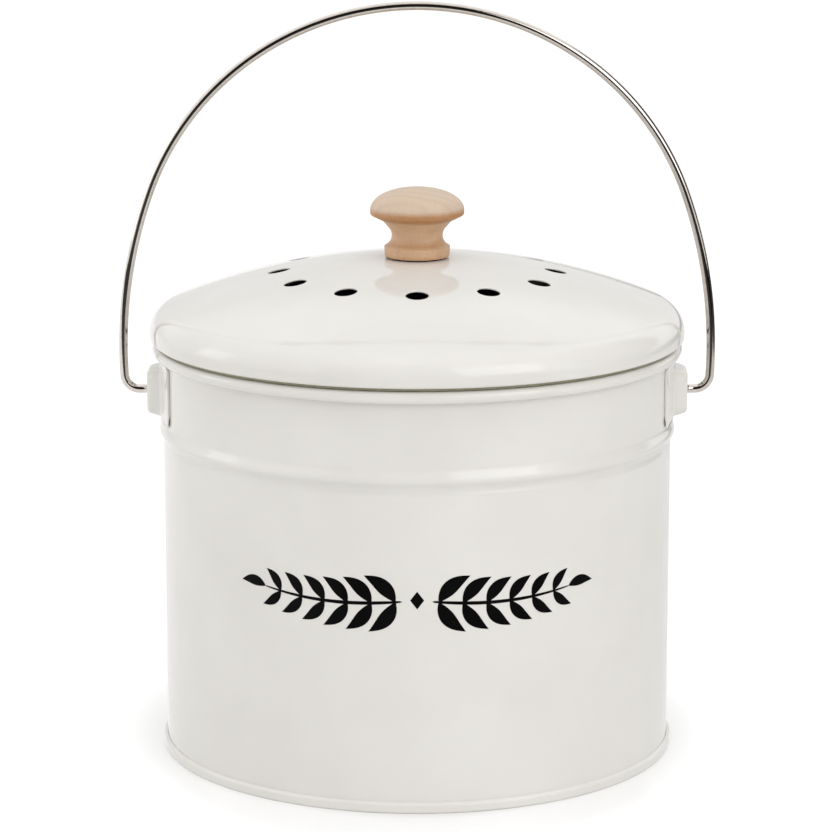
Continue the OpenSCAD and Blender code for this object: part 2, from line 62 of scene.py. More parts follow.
# %% [markdown]
# ## The camera
# A long lens from a little above, which keeps the pail's sides almost upright, as the photograph
# does. The focal length was fitted in pixels of a frame 832 across, and is turned here into the
# lens's millimetres with the width of the sensor.

# %% Camera
EYE_BACK, EYE_UP, LOOK_DOWN = 1.388, 0.431, 12.20
FRAME_PX, FOCUS_PX, SHIFT_PX, SENSOR = 832, 3594, -1.15, 36

scene = bpy.context.scene
eye = bpy.data.objects.new("eye", bpy.data.cameras.new("eye"))
scene.collection.objects.link(eye)
eye.location = (0, -EYE_BACK, EYE_UP)
eye.rotation_euler = (np.radians(90 - LOOK_DOWN), 0, 0)
eye.data.lens = SENSOR * FOCUS_PX / FRAME_PX
eye.data.shift_x = SHIFT_PX / FRAME_PX
scene.camera = eye
scene.view_settings.view_transform = "Standard"
print("lens %.1f mm" % eye.data.lens)


# %% [markdown]
# ## Meshes from arrays
# Everything here is a grid of points with two parameters. A grid may close on itself one way, as
# a lathe's does, or both ways, as an ear's does. Doubled points along a seam or at a pole are
# merged, and then the faces are turned outwards. The tools of the edit mode would do the same
# by hand, but a grid from a formula is exact and can be made again with other sizes.

# %% From a grid of points to a piece
MERGE, SLIVER = 2e-6, 1e-7      # metres


def quads(rows, cols, wrap_rows=False, wrap_cols=False, first=0):
    """Corner numbers of the faces between neighbouring points of a grid, as an array of fours."""
    n = first + np.arange(rows * cols).reshape(rows, cols)
    if wrap_rows:
        n = np.vstack([n, n[:1]])
    if wrap_cols:
        n = np.hstack([n, n[:, :1]])
    return np.stack([n[:-1, :-1], n[1:, :-1], n[1:, 1:], n[:-1, 1:]], -1).reshape(-1, 4)


def piece(name, grids, body, node=(), material=None):
    """One closed, smooth mesh from a list of (points, wrap_rows, wrap_cols), in millimetres."""
    points, faces, first = [], [], 0
    for grid, wrap_rows, wrap_cols in grids:
        rows, cols = grid.shape[:2]
        faces.append(quads(rows, cols, wrap_rows, wrap_cols, first))
        points.append(grid.reshape(-1, 3))
        first += rows * cols
    mesh = bpy.data.meshes.new(name)
    mesh.from_pydata((np.vstack(points) * MM).tolist(), [], np.vstack(faces).tolist())
    work = bmesh.new()
    work.from_mesh(mesh)
    bmesh.ops.remove_doubles(work, verts=work.verts, dist=MERGE)
    bmesh.ops.dissolve_degenerate(work, edges=work.edges, dist=SLIVER)
    bmesh.ops.recalc_face_normals(work, faces=work.faces)
    open_edges = sum(1 for e in work.edges if len(e.link_faces) != 2)
    work.to_mesh(mesh)
    work.free()
    mesh.shade_smooth()
    made = bpy.data.objects.new(name, mesh)
    scene.collection.objects.link(made)
    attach(made, body)
    if node:
        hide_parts(*([node] if isinstance(node, str) else node))
    if material:
        mesh.materials.append(material)
    print("%s: %d faces, %d open edges" % (name, len(mesh.polygons), open_edges))
    return made


print("a grid of 3 by 4 points has %d faces, and %d if it closes both ways" %
      (len(quads(3, 4)), len(quads(3, 4, True, True))))


# %% [markdown]
# ## Profiles
# A pressed or turned piece is a profile of radii and heights, swept round the axis. Straight runs
# get a row of points close to each end, so that the smooth shading of a bend stays in the bend.

# %% Profiles
CORNER_N = 6        # points that a bent corner gets
SHARPEST = 0.02     # millimetres, the bend of a corner that is written with less


def arc(centre, radius, start, end, n):
    """Points on a circle round centre, from one angle to the other in degrees."""
    a = np.radians(np.linspace(start, end, n + 1))
    return np.array(centre) + radius * np.stack([np.cos(a), np.sin(a)], 1)


def slope(a, b, n=16):
    """An S-shaped run from a to b: the radius follows half a cosine as the height grows."""
    u = np.linspace(0, 1, n + 1)[:, None]
    a, b = np.array(a, float), np.array(b, float)
    return np.hstack([a[0] + (b[0] - a[0]) * (1 - np.cos(np.pi * u)) / 2, a[1] + (b[1] - a[1]) * u])


def divided(profile, longest=5.0, guard=0.25):
    """The profile with its long runs divided: each run starts and ends with a short step."""
    profile = np.asarray(profile, float)
    keep = [profile[:1]]
    for a, b in zip(profile[:-1], profile[1:]):
        length = np.hypot(*(b - a))
        if length > 4 * guard:
            n = max(2, int(np.ceil(length / longest)) + 1)
            inner = np.linspace(guard, length - guard, n) / length
            keep.append(a + (b - a) * inner[:, None])
        keep.append(b[None])
    return np.vstack(keep)


def bent(corners):
    """An outline from rows of [radius, height, bend]. Each corner becomes a curve of the second
    degree between the points where an arc with that bend would touch the two sides."""
    c = np.asarray(corners, float)
    p = c[:, :2]
    back, ahead = np.roll(p, 1, 0) - p, np.roll(p, -1, 0) - p
    back /= np.linalg.norm(back, axis=1)[:, None]
    ahead /= np.linalg.norm(ahead, axis=1)[:, None]
    half = np.arccos(np.clip((back * ahead).sum(1), -1, 1)) / 2
    cut = (np.maximum(c[:, 2], SHARPEST) / np.tan(half))[:, None]
    q = np.linspace(0, 1, CORNER_N)[:, None, None]
    points = p + (1 - q) ** 2 * cut * back + q ** 2 * cut * ahead
    return points.transpose(1, 0, 2).reshape(-1, 2)


print("a bent corner has %d points" % CORNER_N)


# %% The lathe
def lathe(profile, sides=256, start=0.0):
    """The profile swept round the axis: x is radius times sine, y minus radius times cosine."""
    t = start + np.linspace(0, 2 * np.pi, sides, endpoint=False)
    r, z = profile[:, 0][:, None], profile[:, 1][:, None]
    return np.stack([r * np.sin(t), -r * np.cos(t), z + 0 * t], -1)


def turned(name, profile, body, node, material, sides=256, loop=True):
    """A turned piece: its profile closes on itself (loop), or ends on the axis at both ends."""
    return piece(name, [(lathe(profile, sides), loop, True)], body, node, material)


print("256 sides stray %.4f mm from a circle of 100 mm" % (100 * (1 - np.cos(np.pi / 256))))

# %% [markdown]
# ## Finishes
# Each finish is a Principled shader with the few nodes that its real surface needs. Patterns
# read Object coordinates, so they sit still on the piece, and an even value is set on the
# shader's own socket.


# %% A few words for building node trees
def finish(name, **sockets):
    """A new material with its Principled shader; sockets are set by name, with _ for a space."""
    made = bpy.data.materials.new(name)
    made.use_nodes = True
    shader = made.node_tree.nodes["Principled BSDF"]
    for key, value in sockets.items():
        shader.inputs[key.replace("_", " ")].default_value = value
    return made, made.node_tree, shader


def add(tree, kind, inputs=None, **settings):
    """A node of that kind; inputs are numbers, colours or the outputs of other nodes."""
    made = tree.nodes.new("ShaderNode" + kind)
    for key, value in settings.items():
        setattr(made, key, value)
    for key, value in (inputs or {}).items():
        if isinstance(value, bpy.types.NodeSocket):
            tree.links.new(value, made.inputs[key])
        else:
            made.inputs[key].default_value = value
    return made


def grey(level):
    """A colour with the same level of red, green and blue."""
    return (level, level, level, 1)


def here(tree):
    """The point's own place on its piece."""
    return add(tree, "TexCoord").outputs["Object"]


def noise(tree, place, scale, detail, out="Fac"):
    """Smooth noise: scale is its waves in a metre, and detail is the finer octaves on it."""
    made = add(tree, "TexNoise", {"Vector": place, "Scale": scale, "Detail": detail})
    return made.outputs[out]


def sums(tree, operation, *values, **settings):
    """One step of arithmetic on the values."""
    made = add(tree, "Math", dict(enumerate(values)), operation=operation, **settings)
    return made.outputs["Value"]


def span(tree, value, start, end, low=0.0, high=1.0):
    """The value carried from start..end to low..high, and held at the ends."""
    ranges = {"Value": value, "From Min": start, "From Max": end, "To Min": low, "To Max": high}
    return add(tree, "MapRange", ranges).outputs["Result"]


def ramp(tree, factor, *stops):
    """A colour ramp of (place, colour) stops."""
    made = add(tree, "ValToRGB", {"Fac": factor})
    made.color_ramp.elements[0].position, made.color_ramp.elements[0].color = stops[0]
    made.color_ramp.elements[1].position, made.color_ramp.elements[1].color = stops[-1]
    for place, colour in stops[1:-1]:
        made.color_ramp.elements.new(place).color = colour
    return made.outputs["Color"]


def mixed(tree, amount, a, b, **settings):
    """Colour a with an amount of colour b mixed in."""
    inputs = {"Factor": amount, "A": a, "B": b}
    return add(tree, "Mix", inputs, data_type="RGBA", **settings).outputs["Result"]


def bump(tree, shader, height, distance, before=None):
    """Sends a height to the shader's normal, with distance in millimetres."""
    inputs = {"Height": height, "Distance": distance * MM, "Strength": 1.0}
    if before is not None:
        inputs["Normal"] = before
    made = add(tree, "Bump", inputs)
    tree.links.new(made.outputs["Normal"], shader.inputs["Normal"])
    return made.outputs["Normal"]


print("words for node trees ready")


# %% [markdown]
# ### Vitreous enamel
# Glass fused on steel: an off-white colour under a clear, hard gloss. The coat flows a little as
# it melts, so the surface is never quite flat: a slow swell of a few hundredths of a millimetre
# breaks up long reflections, and a much finer peel softens them a touch. A faint cloudiness
# keeps the white from looking like paper.

# %% Enamel
CLOUDY = (0.975, 0.973, 0.965)      # the colour's share in the deepest cloud


def enamel(name, colour):
    """Two close tones that follow a slow noise, and two more noises as heights in the gloss."""
    made, tree, shader = finish(name, Roughness=0.05, Specular_IOR_Level=0.42)
    place = here(tree)
    pale = tuple(min(1.0, c * 1.02) for c in colour) + (1,)
    deep = tuple(c * f for c, f in zip(colour, CLOUDY)) + (1,)
    tone = ramp(tree, noise(tree, place, 28.0, 2.0), (0.3, deep), (0.7, pale))
    tree.links.new(tone, shader.inputs["Base Color"])
    swell = bump(tree, shader, noise(tree, place, 22.0, 1.0), 0.10)
    bump(tree, shader, noise(tree, place, 420.0, 1.0), 0.0014, before=swell)
    return made


ENAMEL = enamel("enamel", (0.77, 0.752, 0.713))
print("enamel ready")

# %% [markdown]
# ### Bright wire, zinc and the dark parts
# The bail is drawn wire, polished and plated: a mirror with a very fine unevenness. The screw and
# its washer are zinc plated and duller. The filter's plastic has a fine moulded grain, and the
# ornament is a dull black transfer. One noise drives the colour and the height together, because
# on the real pieces the grain that catches the light is also what looks paler.


# %% Metals
def metal(name, colour, roughness, grain, depth):
    """A fine noise gives two close tones and, depth millimetres deep, the unevenness."""
    made, tree, shader = finish(name, Metallic=1.0, Roughness=roughness)
    fine = noise(tree, here(tree), grain, 3.0)
    dull = tuple(c * 0.88 for c in colour) + (1,)
    tone = ramp(tree, fine, (0.3, dull), (0.7, colour + (1,)))
    tree.links.new(tone, shader.inputs["Base Color"])
    bump(tree, shader, fine, depth)
    return made


WIRE = metal("bright_wire", (0.70, 0.655, 0.615), 0.08, 500.0, 0.002)
ZINC = metal("zinc_plate", (0.62, 0.64, 0.67), 0.32, 900.0, 0.01)
print("wire and zinc ready")


# %% Plastic, rubber, felt and black enamel
def moulded(name, colour, roughness, grain, depth, **sockets):
    """As metal does, with a paler second tone and a gloss that varies with the same noise."""
    made, tree, shader = finish(name, **sockets)
    fine = noise(tree, here(tree), grain, 2.0)
    pale = tuple(min(1.0, c * 1.25 + 0.002) for c in colour) + (1,)
    tone = ramp(tree, fine, (0.35, colour + (1,)), (0.7, pale))
    rough = span(tree, fine, 0.0, 1.0, roughness - 0.06, roughness + 0.06)
    tree.links.new(tone, shader.inputs["Base Color"])
    tree.links.new(rough, shader.inputs["Roughness"])
    bump(tree, shader, fine, depth)
    return made


PLASTIC = moulded("black_plastic", (0.012, 0.012, 0.013), 0.5, 1400.0, 0.02)
RUBBER = moulded("dark_rubber", (0.020, 0.017, 0.014), 0.6, 1800.0, 0.015)
# painted shade: the silicone's colour is darkened to the shade of the gap between the rim and the
# lid; the olive tint is its own
SHADED_SILICONE = moulded("silicone", (0.235, 0.230, 0.150), 0.42, 700.0, 0.01,
                   Subsurface_Weight=0.15, Subsurface_Scale=0.002)
FELT = moulded("charcoal_felt", (0.010, 0.010, 0.010), 0.92, 900.0, 0.35)
INK = moulded("black_enamel", (0.001, 0.001, 0.001), 0.35, 60.0, 0.01, Specular_IOR_Level=0.05)
print("plastic, rubbers, felt and ink ready")

# %% [markdown]
# ### Turned beech
# The grain stands upright in the knob, so growth rings are wide cylinders round a line beside
# it: the distance from that line, bent by noise, gives them, and on the cap they draw faint
# curves. Fibres are a noise stretched along the grain, and the short dark flecks that mark beech
# are cells stretched the same way. A flat picture of wood would run straight over the curves,
# but a pattern in space is cut by them, as real wood is. Painted shade makes the wood warm and a
# little darker along the cap's rim, in the cove and round the foot, where shade falls, and painted
# light makes the cap's top paler, where light from above falls. The flecks are plainest at the foot
# and the rim.

# %% Wood, from its tones
KNOB_FOOT, KNOB_TALL = 0.1951, 0.027                # metres
# painted light: the cap's top is paler; painted shade: the foot, the cove and the cap's rim are
# darker
TOP_LIGHT, WARM = (0.645, 0.505, 0.385, 1), (0.645, 0.428, 0.265, 1)
PAINTED_SHADE, RIM_SHADE = (0.560, 0.325, 0.170, 1), (0.490, 0.245, 0.105, 1)
FLECK = (0.66, 0.50, 0.38, 1)
# from the knob's foot, at 0, to its top, at 1: its tone with the painted shade and light, and how
# plain the flecks are
SHADED_TONES = ((0.0, PAINTED_SHADE), (0.06, WARM), (0.15, WARM), (0.19, PAINTED_SHADE), (0.28, WARM), (0.52, WARM),
         (0.565, RIM_SHADE), (0.655, RIM_SHADE), (0.735, TOP_LIGHT))
PLAIN = ((0.0, grey(1)), (0.15, grey(0.6)), (0.5, grey(0.45)), (0.6, grey(1)), (0.75, grey(0.15)))
PITH_X, PITH_Y, DRIFT = 0.006, 0.021, 0.007                 # metres
# in a metre: radians of the rings' sine, waves of the fibres and cells of the flecks
RINGS, FIBRES, CELLS = 1500.0, (1500, 1500, 160), (1000, 1000, 600)


def beech():
    """Rings, fibres and flecks, each multiplied over the tone of that height on the knob."""
    made, tree, shader = finish("beech", Roughness=0.45, Specular_IOR_Level=0.4,
                                Coat_Weight=0.08, Coat_Roughness=0.3)
    place = here(tree)
    up = span(tree, add(tree, "SeparateXYZ", {"Vector": place}).outputs["Z"],
              KNOB_FOOT, KNOB_FOOT + KNOB_TALL)
    # the place, moved by up to half of DRIFT metres each way
    drift = add(tree, "VectorMath", {0: noise(tree, place, 60.0, 2.0, "Color"), 1: (0.5, 0.5, 0.5)},
                operation="SUBTRACT").outputs["Vector"]
    drift = add(tree, "VectorMath", {0: drift, "Scale": DRIFT}, operation="SCALE").outputs["Vector"]
    moved = add(tree, "VectorMath", {0: place, 1: drift}).outputs["Vector"]
    # the rings, as the sine of the distance from the pith
    centred = add(tree, "Mapping", {"Vector": moved, "Location": (-PITH_X, -PITH_Y, 0),
                                    "Scale": (1, 1, 0.06)})
    reach = add(tree, "VectorMath", {0: centred.outputs["Vector"]}, operation="LENGTH")
    wave = sums(tree, "SINE", sums(tree, "MULTIPLY", reach.outputs["Value"], RINGS))
    rings = ramp(tree, span(tree, wave, -1, 1), (0.0, (0.955, 0.94, 0.925, 1)), (0.6, grey(1)))
    # the fibres
    along = add(tree, "Mapping", {"Vector": moved, "Scale": FIBRES}).outputs["Vector"]
    fibre = noise(tree, along, 1.0, 3.0)
    threads = ramp(tree, fibre, (0.25, (0.93, 0.91, 0.89, 1)), (0.75, grey(1.03)))
    # the flecks, one round the point of each cell
    cells = add(tree, "Mapping", {"Vector": place, "Scale": CELLS}).outputs["Vector"]
    away = add(tree, "TexVoronoi", {"Vector": cells, "Scale": 1.0}).outputs["Distance"]
    inside = span(tree, away, 0.05, 0.30, 1.0, 0.0)
    amount = sums(tree, "MULTIPLY", inside, ramp(tree, up, *PLAIN))
    flecks = mixed(tree, amount, grey(1), FLECK)
    # the tone of each height holds the painted shade low down and at the rim, and the painted light
    # on top
    tone = ramp(tree, up, *SHADED_TONES)
    for layer in (rings, threads, flecks):
        tone = mixed(tree, 1.0, tone, layer, blend_type="MULTIPLY")
    tree.links.new(tone, shader.inputs["Base Color"])
    bump(tree, shader, fibre, 0.012)
    return made


BEECH = beech()
print("beech ready, with %d tones up the knob" % len(SHADED_TONES))

# %% [markdown]
# ## The pail's wall
# One sheet: the plain wall, the pressed swage with its shallow groove, and the rim, which is
# rolled outwards into an almost closed tube. A Solidify modifier could thicken a single line, but
# it has no say over the end of the roll. So the profile goes up the outside, round the roll and
# back down the inside, and the sheet keeps its thickness everywhere.

# %% Pail wall
WALL_R, WALL_T, PAIL_H, WALL_LOW = 100.0, 0.8, 162.0, 0.85
ROLL_R, SLIT = 2.4, 0.15
CREST, RISE, UPPER, LOWER, GROOVE, FADE = 127.8, 1.4, 4.6, 3.6, 0.35, 2.4


def wall_line(off):
    """Foot to rim along the wall, off millimetres inside its outer face."""
    r = WALL_R - off
    low, crest = CREST - LOWER, (r + RISE, CREST)
    return np.vstack([
        [[r, WALL_LOW]], [[r, low - FADE]],
        slope((r, low - FADE), (r - GROOVE, low))[1:], slope((r - GROOVE, low), crest)[1:],
        slope(crest, (r, CREST + UPPER))[1:], [[r, PAIL_H - ROLL_R]],
    ])


roll_centre = (WALL_R - WALL_T + ROLL_R, PAIL_H - ROLL_R)
roll_end = -np.degrees(np.arccos((SLIT + WALL_T - ROLL_R) / ROLL_R))
wall_profile = np.vstack([
    divided(wall_line(0)), arc(roll_centre, ROLL_R - WALL_T, 180, roll_end, 40)[1:],
    arc(roll_centre, ROLL_R, roll_end, 180, 48), divided(wall_line(WALL_T))[::-1][1:],
])
turned("wall", wall_profile, "pail", "pail_wall", ENAMEL, sides=384)

# %% [markdown]
# ## The base
# A pressed disc whose edge goes down inside the wall, round its foot and up outside it, which
# makes the band round the foot. The floor of the pail has a low raised panel that keeps it
# stiff. A plain disc and a ring would look like it from the side, but one profile gives the soft
# edges of the fold too.

# %% Base
SEAM_H, SEAM_R, BASE_T, STEP_R, STEP_W, STEP_H = 4.2, 101.4, 0.8, 78.0, 5.0, 1.0
CHUCK_R, HOOK_R = WALL_R - WALL_T - 0.05, WALL_R + 0.05
INNER_R, JOIN_R = 40, STEP_R + STEP_W + 4   # rings on the flat parts on both sides of the step


def panel(z):
    """The base's panel from the middle to its rim, at height z beside the raised part."""
    step = slope((0, STEP_R), (1, STEP_R + STEP_W))
    radius, height = step[:, 1], z + STEP_H * (1 - step[:, 0])
    return np.vstack([[[0, z + STEP_H]], [[INNER_R, z + STEP_H]], np.stack([radius, height], 1)])


fold = bent([
    [JOIN_R, SEAM_H, 0], [CHUCK_R, SEAM_H, 1.2], [CHUCK_R, BASE_T, 0], [HOOK_R, BASE_T, 0],
    [HOOK_R, SEAM_H, 0.1], [SEAM_R, SEAM_H - 0.9, 0.8], [SEAM_R, 0, 0.9],
    [CHUCK_R - BASE_T, 0, 0.9], [CHUCK_R - BASE_T, SEAM_H - BASE_T, 0.4],
    [JOIN_R, SEAM_H - BASE_T, 0],
])
under = divided(panel(SEAM_H - BASE_T))[::-1]
base_profile = np.vstack([divided(panel(SEAM_H)), divided(fold), under])
turned("base", base_profile, "pail", "pail_base", ENAMEL, sides=384, loop=False)

# %% [markdown]
# ## The lid
# A shallow dome that turns over a soft shoulder into an upright edge with a folded hem. The
# middle is flat, where the knob sits. A flattened sphere would have neither the shoulder nor the
# hem, so the profile is a wide arc, a tight one and a small one, each tangent to the next.

# %% Lid, its dome and its edge
LID_R, LID_T, DOME_R, SHOULDER_R, LID_LOW, EDGE_H, HEM_R = 104.85, 0.8, 266.0, 10.6, 163.3, 2.9, 1.4
SEAT_R, BORE_R, HEM_END = 13.0, 2.3, 101.25
CELL_IN, CELL_OUT = 43.0, 65.0      # radii between which the vents' cells lie
shoulder_c = np.array([LID_R - SHOULDER_R, LID_LOW + EDGE_H])
dome_c = shoulder_c[1] - np.sqrt((DOME_R - SHOULDER_R) ** 2 - shoulder_c[0] ** 2)
shoulder_a = np.degrees(np.arctan2(shoulder_c[1] - dome_c, shoulder_c[0]))


def dome(r, depth=0.0):
    """Height at radius r, under the outer face by depth: a sphere's, but flat over the seat."""
    return dome_c + np.sqrt((DOME_R - depth) ** 2 - np.maximum(r, SEAT_R) ** 2)


def lid_edge(off):
    """From the vents' cells over the shoulder and round the hem to the turned-in leaf's end."""
    out_r = shoulder_c[0] + (SHOULDER_R - off) * np.cos(np.radians(shoulder_a))
    r = np.linspace(CELL_OUT, out_r, 12)
    over = np.stack([r, dome(r, off)], 1)
    return np.vstack([
        over, arc(shoulder_c, SHOULDER_R - off, shoulder_a, 0, 28)[1:],
        arc((LID_R - HEM_R, LID_LOW + HEM_R), HEM_R - off, 0, -90, 14), [[HEM_END, LID_LOW + off]],
    ])


print("the dome meets the shoulder at %.1f degrees" % shoulder_a)

# %% [markdown]
# ### The vents
# They could be cut with a Boolean, but on a glossy dome its long thin faces show. So each vent
# sits in a cell of its own: rings of points go from the cell's border to the hole, over the
# hole's rounded lip, down its wall and back out under the sheet. The cells' borders match the
# rings of the lathe inside and outside them, and merge with them.

# %% Lid shell
VENTS, VENT_R, VENT_C, LIP = 12, 4.35, 54.1, 0.38
SIDE, ACROSS = 24, 14       # steps along a cell's curved and straight borders
start = np.pi / VENTS


def cell():
    """One vent's cell as a grid: border to lip, through the hole and back below. The rings are
    the border and the hole's circle mixed, and the lip is a quarter of a circle."""
    a, s = np.linspace(-start, start, SIDE + 1), np.linspace(0, 1, ACROSS + 1)
    across = CELL_IN + (CELL_OUT - CELL_IN) * s
    border = np.vstack([
        np.stack([a, 0 * a + CELL_IN], 1)[:-1], np.stack([0 * s + start, across], 1)[:-1],
        np.stack([a[::-1], 0 * a + CELL_OUT], 1)[:-1],
        np.stack([0 * s - start, across[::-1]], 1)[:-1],
    ])
    flat = np.stack([border[:, 1] * np.sin(border[:, 0]), border[:, 1] * np.cos(border[:, 0])], 1)
    away = flat - [0, VENT_C]
    unit = away / np.linalg.norm(away, axis=1)[:, None]
    q = np.radians(np.linspace(0, 90, 7))
    out = (1 - np.linspace(0, 1, 14) ** 0.8)[:, None, None]
    rings = flat * out + ([0, VENT_C] + unit * (VENT_R + LIP)) * (1 - out)
    lip_r, lip_d = VENT_R + LIP * (1 - np.sin(q)), LIP * (1 - np.cos(q))
    lip = [0, VENT_C] + unit * lip_r[:, None, None]
    plan = np.concatenate([rings, lip[1:], lip[::-1], rings[::-1][1:]])
    above, below = 0 * out[:, 0, 0], LID_T + 0 * out[1:, 0, 0]
    share = (np.concatenate([above, lip_d[1:], LID_T - lip_d[::-1], below]) / LID_T)[:, None]
    radius = np.linalg.norm(plan, axis=2)
    z = dome(radius) * (1 - share) + dome(radius, LID_T) * share
    return np.dstack([plan[..., 0], -plan[..., 1], z])


def about_axis(grid, turn):
    """The grid turned about the Z axis."""
    c, s = np.cos(turn), np.sin(turn)
    return grid @ np.array([[c, s, 0], [-s, c, 0], [0, 0, 1]])


seat, slope_out = np.linspace(4, SEAT_R - 0.4, 5), np.linspace(SEAT_R + 0.4, CELL_IN, 10)
r = np.concatenate([[BORE_R], seat, slope_out])
middle = np.vstack([np.stack([r[::-1], dome(r[::-1], LID_T)], 1), np.stack([r, dome(r)], 1)])
edge = np.vstack([divided(lid_edge(0), 8), divided(lid_edge(LID_T), 8)[::-1]])
one = cell()
lid_grids = [(lathe(part, VENTS * SIDE, start), False, True) for part in (middle, edge)]
lid_grids += [(about_axis(one, 2 * np.pi * k / VENTS), False, True) for k in range(VENTS)]
piece("lid", lid_grids, "lid", "lid_shell", ENAMEL)

# %% [markdown]
# ## The gasket
# It shows only as a thin dark line, but it has its whole section: a sleeve that goes down inside
# the pail's rim, and a flange between the rim and the lid's hem. Its corners are moulded, so each
# is written with its own bend.

# %% Gasket
gasket_profile = bent([
    [98.25, 157, 0], [98.9, 157, 0.25], [98.9, 162.3, 0.25], [102.85, 162.3, 0.35],
    [102.85, 163.25, 0.35], [101.2, 163.25, 0], [101.2, 164.1, 0.25], [98.65, 164.1, 0.25],
])
turned("gasket", divided(gasket_profile, 3), "lid", "lid_gasket", SHADED_SILICONE)

# %% [markdown]
# ## The knob
# One profile from the axis at its foot to the axis at its top: a foot, a cove, a flare, the cap's
# flatter underside, a small rolled edge, an upright band and a top that is a superellipse, a
# little fuller than a round one. A turner works from the same line. Stacked cylinders with
# bevels would break it between the cove and the flare.

# %% Knob
WASHER_T, EASED = 0.6, 0.4
KNOB_Z = dome(0.0) + WASHER_T
FOOT_R, TAPER, NECK_R, NECK_Z, COVE_R, FLARE, UNDER_R = 12.9, 0.3, 10.0, 8.3, 4.6, 49.0, 13.5
CAP_R, CAP_Z, CAP_H, BAND, EDGE_R, POWER = 18.4, 18.05, 8.9, 0.9, 1.0, 2.1


def knob_line():
    """The whole profile as one run of radii and heights above the knob's foot."""
    cove = np.array([NECK_R + COVE_R, NECK_Z])
    low = 180 + np.degrees(np.arccos((cove[0] - FOOT_R + EASED) / COVE_R))
    cove_run = arc(cove, COVE_R, low, 90 + FLARE, 24)
    foot_edge = cove_run[0] - [0, EASED]
    corner = slice(CORNER_N, 2 * CORNER_N)      # the middle one of three corners
    toe = bent([[0, 0, 0], [FOOT_R - TAPER, 0, EASED], [FOOT_R, foot_edge[1], 0]])[corner]
    run_out = np.array([1, np.tan(np.radians(FLARE))])
    under = cove_run[-1] + (UNDER_R - cove_run[-1, 0]) * run_out
    edge = np.array([CAP_R - EDGE_R, CAP_Z - BAND])
    reach = edge - under
    first = np.degrees(np.arctan2(reach[1], reach[0]) - np.arcsin(EDGE_R / np.hypot(*reach))) - 90
    edge_run = arc(edge, EDGE_R, first, 0, 10)
    turn = bent([[*cove_run[-1], 0], [*under, 1.2], [*edge_run[0], 0]])[corner]
    a = np.radians(np.linspace(0, 90, 41))
    cap_r, cap_z = CAP_R * np.cos(a) ** (2 / POWER), CAP_Z + CAP_H * np.sin(a) ** (2 / POWER)
    cap = np.stack([cap_r, cap_z], 1)
    toe_top = arc(foot_edge, EASED, 0, 90, 6)[:-1]
    return np.vstack([[[0, 0]], toe, toe_top, cove_run, turn, edge_run, cap])


knob_profile = divided(knob_line(), 3)
knob_profile[-1, 0] = 0
knob_profile += [0, KNOB_Z]
turned("knob", knob_profile, "lid", "lid_knob", BEECH, sides=192, loop=False)

# %% [markdown]
# ## The bail
# One wire of the same thickness all along. Its line is made of arcs that run into each other
# without a corner: a wide one over the top, a tighter one at each shoulder, a flat one down each
# side and a small bend in towards the ear. A ring of points is carried along that line. A Bezier
# curve with a bevel could do this too, but its handles only come near to an arc.

# %% The bail's arcs
WIRE_D, PIVOT_Z, FACE_X, SIDE_GAP, BEND_R = 3.5, 142.0, 106.4, 7.4, 6.0
TOP_A, SIDE_A, LESS, MORE, LEAN = 43.0, 70.0, 3.0, 72.0, 3.0


def sin(degrees):
    """Sine of an angle in degrees."""
    return np.sin(np.radians(degrees))


def cos(degrees):
    """Cosine of an angle in degrees."""
    return np.cos(np.radians(degrees))


half_w = FACE_X + SIDE_GAP + WIRE_D / 2
top_r = half_w + LESS * (sin(SIDE_A) - sin(TOP_A)) - MORE * (1 - sin(SIDE_A))
mid_r, side_r = top_r - LESS, top_r + MORE
bend_up = BEND_R * (1 - sin(LEAN)) + side_r * (cos(SIDE_A) + sin(LEAN))
top_z = PIVOT_Z + bend_up + mid_r * (cos(TOP_A) - cos(SIDE_A)) + top_r * (1 - cos(TOP_A))
print("top of the wire's line at %.2f mm" % top_z)

# %% Bail
HEAD_X, HEAD_T, HEAD_R = 103.7, 1.4, 2.8        # the head's inner face, its thickness and radius
WIRE_R = WIRE_D / 2 - 0.02                      # a hair inside the facets of the CAD's wire


def wire_line():
    """Points and headings of the right half, from the straight end in the ear to the top."""
    top = np.array([0, top_z - top_r])
    mid = top + (top_r - mid_r) * np.array([cos(90 - TOP_A), sin(90 - TOP_A)])
    side = mid + (mid_r - side_r) * np.array([cos(90 - SIDE_A), sin(90 - SIDE_A)])
    bend = side + (side_r - BEND_R) * np.array([cos(-LEAN), sin(-LEAN)])
    runs = [(bend, BEND_R, -90, -LEAN, 16), (side, side_r, -LEAN, 90 - SIDE_A, 16),
            (mid, mid_r, 90 - SIDE_A, 90 - TOP_A, 20), (top, top_r, 90 - TOP_A, 90, 30)]
    arcs = [arc(c, r, a, b, n)[:-1] for c, r, a, b, n in runs]
    headings = [np.linspace(a, b, n + 1)[:-1] for c, r, a, b, n in runs]
    line = np.vstack([[[bend[0] - 0.3, PIVOT_Z]], *arcs, [[0, top_z]]])
    return line, np.concatenate([[-90], *headings, [90]])


